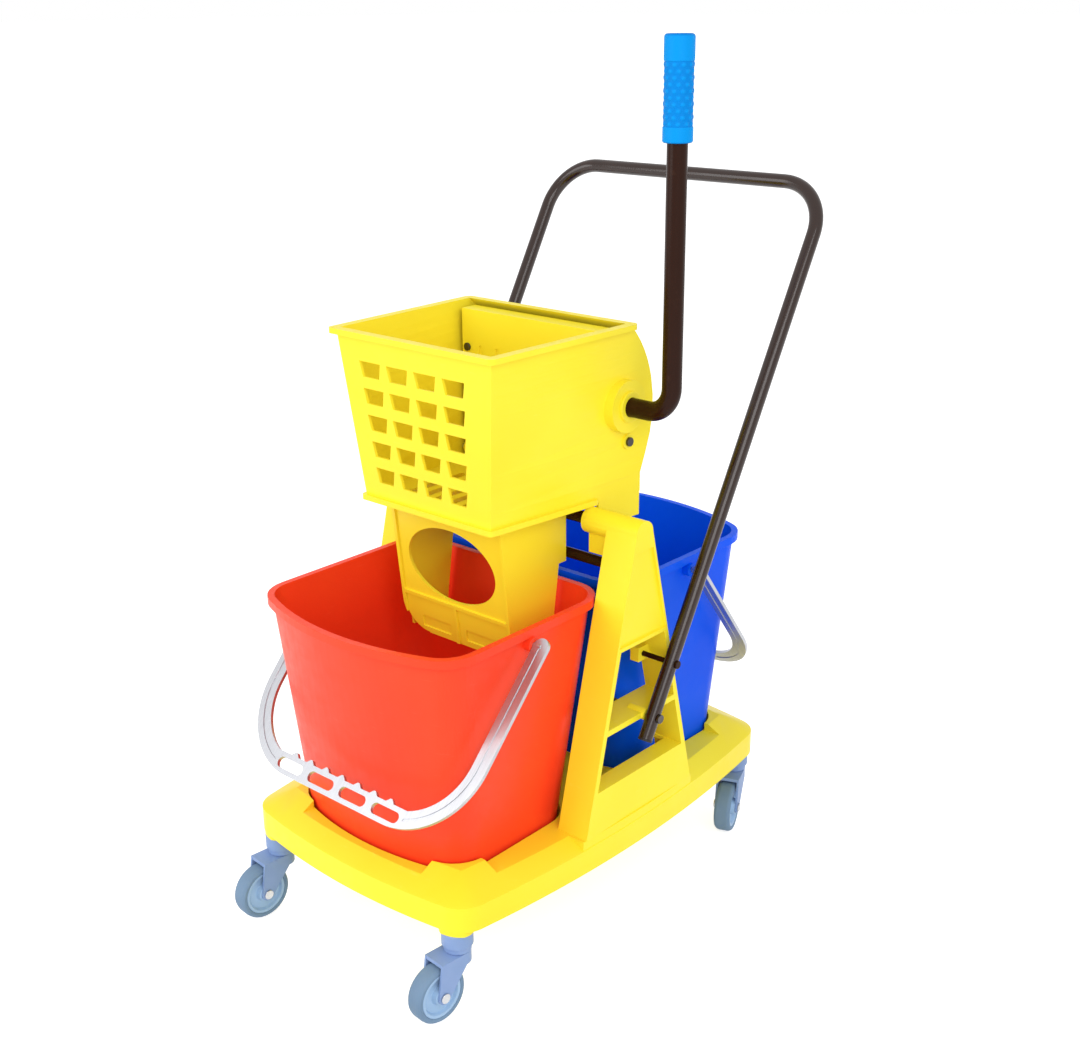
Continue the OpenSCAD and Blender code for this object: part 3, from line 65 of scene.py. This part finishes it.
class Tree:
    """Small helper that adds and wires the nodes of one material."""

    def __init__(self, name):
        self.material = bpy.data.materials.new(name)
        self.material.use_nodes = True
        self.nodes = self.material.node_tree.nodes
        self.links = self.material.node_tree.links
        self.shader = self.nodes["Principled BSDF"]
        self.place = self.add("ShaderNodeTexCoord").outputs["Object"]

    def add(self, kind, **settings):
        node = self.nodes.new(kind)
        for key, value in settings.items():
            setattr(node, key, value)
        return node

    def wire(self, output, socket):
        self.links.new(output, socket)

    def stretched(self, scale):
        mapping = self.add("ShaderNodeMapping")
        mapping.inputs["Scale"].default_value = scale
        self.wire(self.place, mapping.inputs["Vector"])
        return mapping.outputs["Vector"]

    def noise(self, scale, detail=3.0, rough=0.5, vector=None):
        node = self.add("ShaderNodeTexNoise")
        node.inputs["Scale"].default_value = scale
        node.inputs["Detail"].default_value = detail
        node.inputs["Roughness"].default_value = rough
        self.wire(vector or self.place, node.inputs["Vector"])
        return node.outputs["Fac"]

    def ramp(self, fac, span, values=FULL_RANGE):
        """Maps fac from a span to two values."""
        node = self.add("ShaderNodeMapRange")
        for name, number in zip(("From Min", "From Max", "To Min", "To Max"), (*span, *values)):
            node.inputs[name].default_value = number
        self.wire(fac, node.inputs["Value"])
        return node.outputs["Result"]

    def mix(self, fac, a, b):
        node = self.add("ShaderNodeMix", data_type="RGBA")
        self.wire(fac, node.inputs["Factor"])
        for socket, value in ((node.inputs[MIX_A], a), (node.inputs[MIX_B], b)):
            if isinstance(value, tuple):
                socket.default_value = (*value, 1.0)
            else:
                self.wire(value, socket)
        return node.outputs[MIX_RESULT]

    def bump(self, height, distance, strength, normal=None):
        node = self.add("ShaderNodeBump")
        node.inputs["Distance"].default_value = distance
        node.inputs["Strength"].default_value = strength
        self.wire(height, node.inputs["Height"])
        if normal is not None:
            self.wire(normal, node.inputs["Normal"])
        return node.outputs["Normal"]

    def from_axis(self, axis):
        """Distance from an upright axis."""
        offset = self.add("ShaderNodeVectorMath", operation="SUBTRACT")
        offset.inputs[1].default_value = axis
        self.wire(self.place, offset.inputs[0])
        level = self.add("ShaderNodeVectorMath", operation="MULTIPLY")
        level.inputs[1].default_value = (1, 1, 0)
        self.wire(offset.outputs["Vector"], level.inputs[0])
        length = self.add("ShaderNodeVectorMath", operation="LENGTH")
        self.wire(level.outputs["Vector"], length.inputs[0])
        return length.outputs["Value"]

    def finish(self, color, rough, normal, **numbers):
        self.wire(color, self.shader.inputs["Base Color"])
        self.wire(rough, self.shader.inputs["Roughness"])
        self.wire(normal, self.shader.inputs["Normal"])
        for key, value in numbers.items():
            self.shader.inputs[key.replace("_", " ")].default_value = value
        return self.material


def moulded(name, light, deep, scuff, gloss=0.22):
    """Injection-moulded plastic: slow colour drift, faint flow marks, fine scuffs and a fine grain."""
    rough = (0.30, 0.42)
    flow = (1.0, 1.0, 9.0)
    t = Tree(name)
    color = t.mix(t.ramp(t.noise(scale=5.0, detail=2.0), (0.35, 0.68)), light, deep)
    marks = t.noise(scale=34.0, detail=4.0, rough=0.6, vector=t.stretched(flow))
    color = t.mix(t.ramp(marks, (0.64, 0.80), (0.0, 0.35)), color, scuff)
    normal = t.bump(t.noise(scale=16.0, detail=2.0), distance=0.0016, strength=0.25)
    normal = t.bump(t.noise(scale=900.0, detail=2.0), distance=0.00012, strength=0.5, normal=normal)
    return t.finish(color, t.ramp(t.noise(scale=60.0, detail=4.0), NOISE_MIDDLE, rough), normal,
                    Specular_IOR_Level=gloss)


def coated_tube(name, base, rubbed, rough, gloss):
    """Baked gloss coating on steel tube: faint orange peel and a few rubbed places."""
    t = Tree(name)
    wear = t.ramp(t.noise(scale=26.0, detail=5.0, rough=0.65), (0.60, 0.78), (0.0, 0.6))
    normal = t.bump(t.noise(scale=420.0, detail=2.0), distance=0.0002, strength=0.35)
    return t.finish(t.mix(wear, base, rubbed), t.ramp(t.noise(scale=45.0), NOISE_MIDDLE, rough), normal,
                    Specular_IOR_Level=gloss)


def bright_metal(name, base, shade, rough, metal=1.0):
    """Polished or plated metal with fine drawn lines."""
    drawing = (240.0, 3.0, 3.0)
    t = Tree(name)
    lines = t.noise(scale=4.0, detail=5.0, rough=0.7, vector=t.stretched(drawing))
    color = t.mix(t.ramp(lines, NOISE_MIDDLE), base, shade)
    normal = t.bump(lines, distance=0.00012, strength=0.3)
    return t.finish(color, t.ramp(lines, NOISE_MIDDLE, rough), normal, Metallic=metal)


def textured(t, color, rough, gloss):
    """Fine matte texture of rubber and of small mouldings."""
    normal = t.bump(t.noise(scale=720.0), distance=0.0002, strength=0.5)
    return t.finish(color, t.ramp(t.noise(scale=80.0), NOISE_MIDDLE, rough), normal, Specular_IOR_Level=gloss)


def matte(name, base, deep, rough):
    """Matte moulded plastic, rubber or cast iron."""
    t = Tree(name)
    color = t.mix(t.ramp(t.noise(scale=14.0), (0.35, 0.65)), base, deep)
    return textured(t, color, rough, gloss=0.25)


def studded_rubber(name, raised_highlight, sunk, axis, radius, depth):
    """Moulded rubber with a painted highlight on its studs and painted shade in the sunk band between them.
    """
    t = Tree(name)
    # Painted light: the colour runs by distance from the axis, from painted shade deep in the sunk band to a
    # painted highlight on the stud tops
    color = t.mix(t.ramp(t.from_axis(axis), (radius - depth, radius)), sunk, raised_highlight)
    return textured(t, color, rough=(0.42, 0.55), gloss=0.07)


# One material for each slot
MATERIAL = {
    "yellow_plastic": moulded(
        "yellow_moulding", (0.97, 0.82, 0.036), (0.95, 0.77, 0.026), (0.98, 0.88, 0.12)),
    "red_plastic": moulded(
        "red_moulding", (0.96, 0.060, 0.016), (0.91, 0.048, 0.012), (0.97, 0.13, 0.06)),
    "blue_plastic": moulded(
        "blue_moulding", (0.001, 0.105, 0.96), (0.001, 0.084, 0.86), (0.006, 0.16, 0.98), gloss=0.08),
    "brown_tube": coated_tube(
        "brown_coating", (0.024, 0.0070, 0.0030), (0.052, 0.022, 0.012), (0.16, 0.26), gloss=0.11),
    "dark_steel": bright_metal("dark_plating", (0.12, 0.11, 0.11), (0.07, 0.06, 0.06), (0.3, 0.45)),
    "bright_steel": bright_metal("zinc_plating", (0.62, 0.63, 0.66), (0.50, 0.51, 0.54), (0.22, 0.36)),
    "bail_metal": bright_metal(
        "bail_polish", (0.56, 0.57, 0.60), (0.44, 0.45, 0.48), (0.28, 0.42), metal=0.9),
    "black_plastic": matte("black_moulding", (0.020, 0.019, 0.018), (0.034, 0.031, 0.029), (0.45, 0.6)),
    "caster_plastic": matte("caster_moulding", (0.25, 0.36, 0.62), (0.21, 0.32, 0.56), (0.38, 0.5)),
    "hub_plastic": matte("hub_moulding", (0.36, 0.53, 0.74), (0.31, 0.47, 0.68), (0.38, 0.5)),
    "tyre_rubber": matte("tyre_rubber", (0.18, 0.28, 0.41), (0.15, 0.24, 0.36), (0.55, 0.7)),
    "cam_iron": matte("cam_iron", (0.05, 0.045, 0.042), (0.08, 0.07, 0.065), (0.5, 0.65)),
}
# The push handle's coating is glossier than that of the other tubes
OWN_FINISH = {
    "push_handle": coated_tube(
        "handle_coating", (0.022, 0.0080, 0.0045), (0.050, 0.024, 0.016), (0.12, 0.20), gloss=0.5),
}


# Pieces

WELD_DISTANCE = 2e-5
FLAT_ANGLE = math.radians(0.6)
SHARP_ANGLE = math.radians(32)
GRIP_SHARP_ANGLE = math.radians(50)
BEVEL_SEGMENTS = 3


def new_piece(node, mesh, material=None):
    mesh.materials.clear()
    mesh.materials.append(material or MATERIAL[SLOT_OF[node]])
    obj = bpy.data.objects.new(node + "_piece", mesh)
    SCENE.collection.objects.link(obj)
    return obj


def place(obj, node):
    """Puts a finished piece in the scene in a CAD node's stead."""
    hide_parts(node)
    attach(obj, BODY_OF[node])


def write_smooth(bm, mesh):
    for face in bm.faces:
        face.smooth = True
    bm.to_mesh(mesh)
    bm.free()


def softened(node, width):
    """A copy of a CAD node with its moulded or rolled edges rounded over."""
    mesh = NODES[node].data.copy()
    bm = bmesh.new()
    bm.from_mesh(mesh)
    bmesh.ops.remove_doubles(bm, verts=bm.verts, dist=WELD_DISTANCE)
    bmesh.ops.dissolve_degenerate(bm, edges=bm.edges, dist=WELD_DISTANCE)
    bmesh.ops.dissolve_limit(bm, angle_limit=FLAT_ANGLE, verts=bm.verts, edges=bm.edges)
    bmesh.ops.recalc_face_normals(bm, faces=bm.faces)
    write_smooth(bm, mesh)
    mesh.set_sharp_from_angle(angle=SHARP_ANGLE)
    obj = new_piece(node, mesh, OWN_FINISH.get(node))
    if width:
        bevel = obj.modifiers.new("rounded_edges", "BEVEL")
        bevel.width = width
        bevel.segments = BEVEL_SEGMENTS
        bevel.limit_method = "ANGLE"
        bevel.angle_limit = SHARP_ANGLE
        bevel.use_clamp_overlap = True
        even = obj.modifiers.new("even_normals", "WEIGHTED_NORMAL")
        even.keep_sharp = True
    place(obj, node)


def skinned(name, bm, rings):
    """Mesh of a row of rings, closed at both ends."""
    count = len(rings[0])
    for a, b in zip(rings, rings[1:]):
        for i in range(count):
            n = (i + 1) % count
            bm.faces.new((a[i], a[n], b[n], b[i]))
    bm.faces.new(rings[-1])
    bm.faces.new(list(reversed(rings[0])))
    bmesh.ops.recalc_face_normals(bm, faces=bm.faces)
    mesh = bpy.data.meshes.new(name)
    write_smooth(bm, mesh)
    return mesh


def studded_grip():
    """Lever grip: a moulded sleeve with a sunk band of staggered studs and a domed end."""
    around, levels = 120, 150
    chamfer = 0.0015
    dome, dome_steps = 0.004, 6
    band_low, sunk = 0.018, 0.0008
    pitch, stud_rows, studs_around = 0.0073, 10, 10
    # Half width and half height of a stud, as shares of its field
    stud_half_w, stud_half_h = 0.34, 0.42
    low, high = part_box("lever_grip")
    center = (low + high) / 2
    radius = (high.x - low.x) / 2
    height = high.z - low.z
    angles = [FULL_TURN * i / around for i in range(around)]
    bm = bmesh.new()

    def side_radius(angle, z):
        row = (z - low.z - band_low) / pitch
        if not 0.0 < row < stud_rows:
            return radius
        shift = 0.5 if math.floor(row) % 2 else 0.0
        across = (angle / FULL_TURN * studs_around + shift) % 1.0 - 0.5
        up = row % 1.0 - 0.5
        far = math.hypot(across / stud_half_w, up / stud_half_h)
        return radius - sunk * min(1.0, far * far)

    def ring(z, radii):
        return [bm.verts.new((center.x + r * math.cos(a), center.y + r * math.sin(a), z))
                for a, r in zip(angles, radii)]

    rings = [ring(low.z, [radius - chamfer] * around)]
    for j in range(levels + 1):
        z = low.z + chamfer + (height - chamfer - dome) * j / levels
        rings.append(ring(z, [side_radius(a, z) for a in angles]))
    for k in range(1, dome_steps + 1):
        b = math.pi / 2 * k / dome_steps
        rings.append(ring(high.z - dome + dome * math.sin(b), [radius - dome + dome * math.cos(b)] * around))
    mesh = skinned("lever_grip_piece", bm, rings)
    mesh.set_sharp_from_angle(angle=GRIP_SHARP_ANGLE)
    # First colour: painted highlight on the studs; second colour: painted shade in the sunk band
    rubber = studded_rubber("grip_rubber", (0.0012, 0.285, 0.76), (0.0005, 0.215, 0.65),
                            (center.x, center.y, 0.0), radius, sunk)
    place(new_piece("lever_grip", mesh, rubber), "lever_grip")


def wound_spring():
    """Return spring: round wire wound evenly on the shaft, with a straight tail to the rear wall."""
    wire, wire_sides = 0.0015, 10
    turns, turn_steps, tail_steps = 6, 24, 4
    shaft_y, shaft_z = 0.057, 0.6923
    low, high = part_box("return_spring")
    radius = shaft_z - low.z - wire
    start, end = low.x + wire, high.x - wire
    steps = turns * turn_steps
    path = []
    for i in range(steps + 1):
        a = FULL_TURN * i / turn_steps
        path.append(Vector((start + (end - start) * i / steps, shaft_y + radius * math.sin(a),
                            shaft_z - radius * math.cos(a))))
    tail = path[-1]
    path += [Vector((tail.x, tail.y + (high.y - tail.y) * k / tail_steps, tail.z))
             for k in range(1, tail_steps + 1)]
    bm = bmesh.new()
    rings = []
    for i, point in enumerate(path):
        ahead = (path[min(i + 1, len(path) - 1)] - path[max(i - 1, 0)]).normalized()
        side = ahead.cross(Vector((1, 0, 0))).normalized()
        up = side.cross(ahead).normalized()
        rings.append([bm.verts.new(point + wire * (math.cos(b) * side + math.sin(b) * up))
                      for b in (FULL_TURN * k / wire_sides for k in range(wire_sides))])
    place(new_piece("return_spring", skinned("return_spring_piece", bm, rings)), "return_spring")


# Width of the rounding on each node's edges
EDGE = {
    "tray": 0.004, "left_side_frame": 0.0022, "right_side_frame": 0.0022,
    "red_bucket": 0.0022, "blue_bucket": 0.0022, "red_bail": 0.0012, "blue_bail": 0.0012,
    "wringer_hopper": 0.0014, "wringer_throat": 0.0012, "press_plate": 0.0015,
    "upper_cross_tube": 0.0005, "lower_cross_bar": 0.0008, "push_handle": 0.0, "lever": 0.0,
    "handle_end_plugs": 0.0008, "handle_bolts": 0.0007, "handle_stay_rods": 0.0007,
    "frame_screws": 0.0005, "throat_screws": 0.0005, "shaft_bushes": 0.0006,
    "bush_screws": 0.0006, "plate_hinge_rod": 0.0006, "plate_bolts": 0.0006,
    "press_cams": 0.001, "cam_set_screws": 0.0004, "shaft_end_cap": 0.001,
}
CASTER_EDGE = {
    "caster_stem": 0.001, "caster_fork": 0.0009, "caster_axle": 0.0006,
    "wheel_hub": 0.0008, "wheel_tyre": 0.0008,
}
for node_name, edge_width in EDGE.items():
    softened(node_name, edge_width)
for corner in CASTERS:
    for piece, edge_width in CASTER_EDGE.items():
        softened(corner + "_" + piece, edge_width)
studded_grip()
wound_spring()


# Stage, light and camera

WORLD_LIGHT = 0.84
FLOOR_HALF = 90.0
# Grey and glow of the floor as it is seen, and its grey for the light it throws back on the part
PAPER_GREY, PAPER_GLOW, BOUNCE_GREY = 0.64, 0.74, 0.90
LAMP_AIM = (0.0, 0.0, 0.45)
LAMP_SIZE = 1.8
KEY_PLACE, KEY_WATTS = (2.3, -1.5, 1.9), 32.0
FILL_PLACE, FILL_WATTS = (-1.2, -2.6, 1.4), 28.0
CAMERA_PLACE = (1.262, -1.371, 1.180)
CAMERA_AZIMUTH = math.radians(41.581)
CAMERA_ELEVATION = math.radians(19.719)
CAMERA_ROLL = math.radians(-0.476)
CAMERA_LENS, CAMERA_SENSOR, CAMERA_FAR = 49.06, 36.0, 300.0


def shader(tree, kind, level=1.0, strength=None):
    """A white or grey shader node."""
    node = tree.nodes.new(kind)
    node.inputs["Color"].default_value = (level, level, level, 1)
    if strength is not None:
        node.inputs["Strength"].default_value = strength
    return node


def white_to_the_eye(tree):
    """1 for rays that should see a white surround: camera, glossy and transmission rays."""
    path = tree.nodes.new("ShaderNodeLightPath")
    total = path.outputs["Is Camera Ray"]
    for name in ("Is Glossy Ray", "Is Transmission Ray"):
        both = tree.nodes.new("ShaderNodeMath")
        both.operation = "MAXIMUM"
        tree.links.new(total, both.inputs[0])
        tree.links.new(path.outputs[name], both.inputs[1])
        total = both.outputs[0]
    return total


def show(tree, lit, seen, output_kind):
    """Lights the part with one shader and shows the other to the eye."""
    mix = tree.nodes.new("ShaderNodeMixShader")
    out = tree.nodes.new(output_kind)
    tree.links.new(white_to_the_eye(tree), mix.inputs["Fac"])
    tree.links.new(lit.outputs[0], mix.inputs[1])
    tree.links.new(seen.outputs[0], mix.inputs[2])
    tree.links.new(mix.outputs[0], out.inputs["Surface"])


def make_world():
    world = bpy.data.worlds.new("studio")
    world.use_nodes = True
    SCENE.world = world
    tree = world.node_tree
    tree.nodes.clear()
    light = shader(tree, "ShaderNodeBackground", strength=WORLD_LIGHT)
    seen = shader(tree, "ShaderNodeBackground", strength=1.0)
    show(tree, light, seen, "ShaderNodeOutputWorld")


def make_floor():
    mesh = bpy.data.meshes.new("floor")
    r = FLOOR_HALF
    mesh.from_pydata([(-r, -r, 0), (r, -r, 0), (r, r, 0), (-r, r, 0)], [], [(0, 1, 2, 3)])
    floor = bpy.data.objects.new("floor", mesh)
    SCENE.collection.objects.link(floor)
    material = bpy.data.materials.new("floor_paper")
    material.use_nodes = True
    tree = material.node_tree
    tree.nodes.clear()
    paper = shader(tree, "ShaderNodeBsdfDiffuse", PAPER_GREY)
    glow = shader(tree, "ShaderNodeEmission", strength=PAPER_GLOW)
    both = tree.nodes.new("ShaderNodeAddShader")
    tree.links.new(paper.outputs[0], both.inputs[0])
    tree.links.new(glow.outputs[0], both.inputs[1])
    plain = shader(tree, "ShaderNodeBsdfDiffuse", BOUNCE_GREY)
    show(tree, plain, both, "ShaderNodeOutputMaterial")
    mesh.materials.append(material)


def softbox(name, position, watts):
    light = bpy.data.lights.new(name, "AREA")
    light.shape = "SQUARE"
    light.size = LAMP_SIZE
    light.energy = watts
    obj = bpy.data.objects.new(name, light)
    obj.location = position
    obj.rotation_euler = (Vector(LAMP_AIM) - Vector(position)).to_track_quat("-Z", "Y").to_euler()
    SCENE.collection.objects.link(obj)


def make_camera():
    azimuth, elevation, roll = CAMERA_AZIMUTH, CAMERA_ELEVATION, CAMERA_ROLL
    back = Vector((math.sin(azimuth) * math.cos(elevation), -math.cos(azimuth) * math.cos(elevation),
                   math.sin(elevation)))
    right = Vector((math.cos(azimuth), math.sin(azimuth), 0.0))
    up = back.cross(right)
    turned_right = right * math.cos(roll) + up * math.sin(roll)
    turned_up = up * math.cos(roll) - right * math.sin(roll)
    matrix = Matrix((turned_right, turned_up, back)).transposed().to_4x4()
    matrix.translation = CAMERA_PLACE
    data = bpy.data.cameras.new("camera")
    data.sensor_fit = "HORIZONTAL"
    data.sensor_width = CAMERA_SENSOR
    data.lens = CAMERA_LENS
    data.clip_end = CAMERA_FAR
    camera = bpy.data.objects.new("camera", data)
    camera.matrix_world = matrix
    SCENE.collection.objects.link(camera)
    SCENE.camera = camera


make_world()
make_floor()
softbox("key", KEY_PLACE, KEY_WATTS)
softbox("fill", FILL_PLACE, FILL_WATTS)
make_camera()
SCENE.view_settings.view_transform = "Standard"
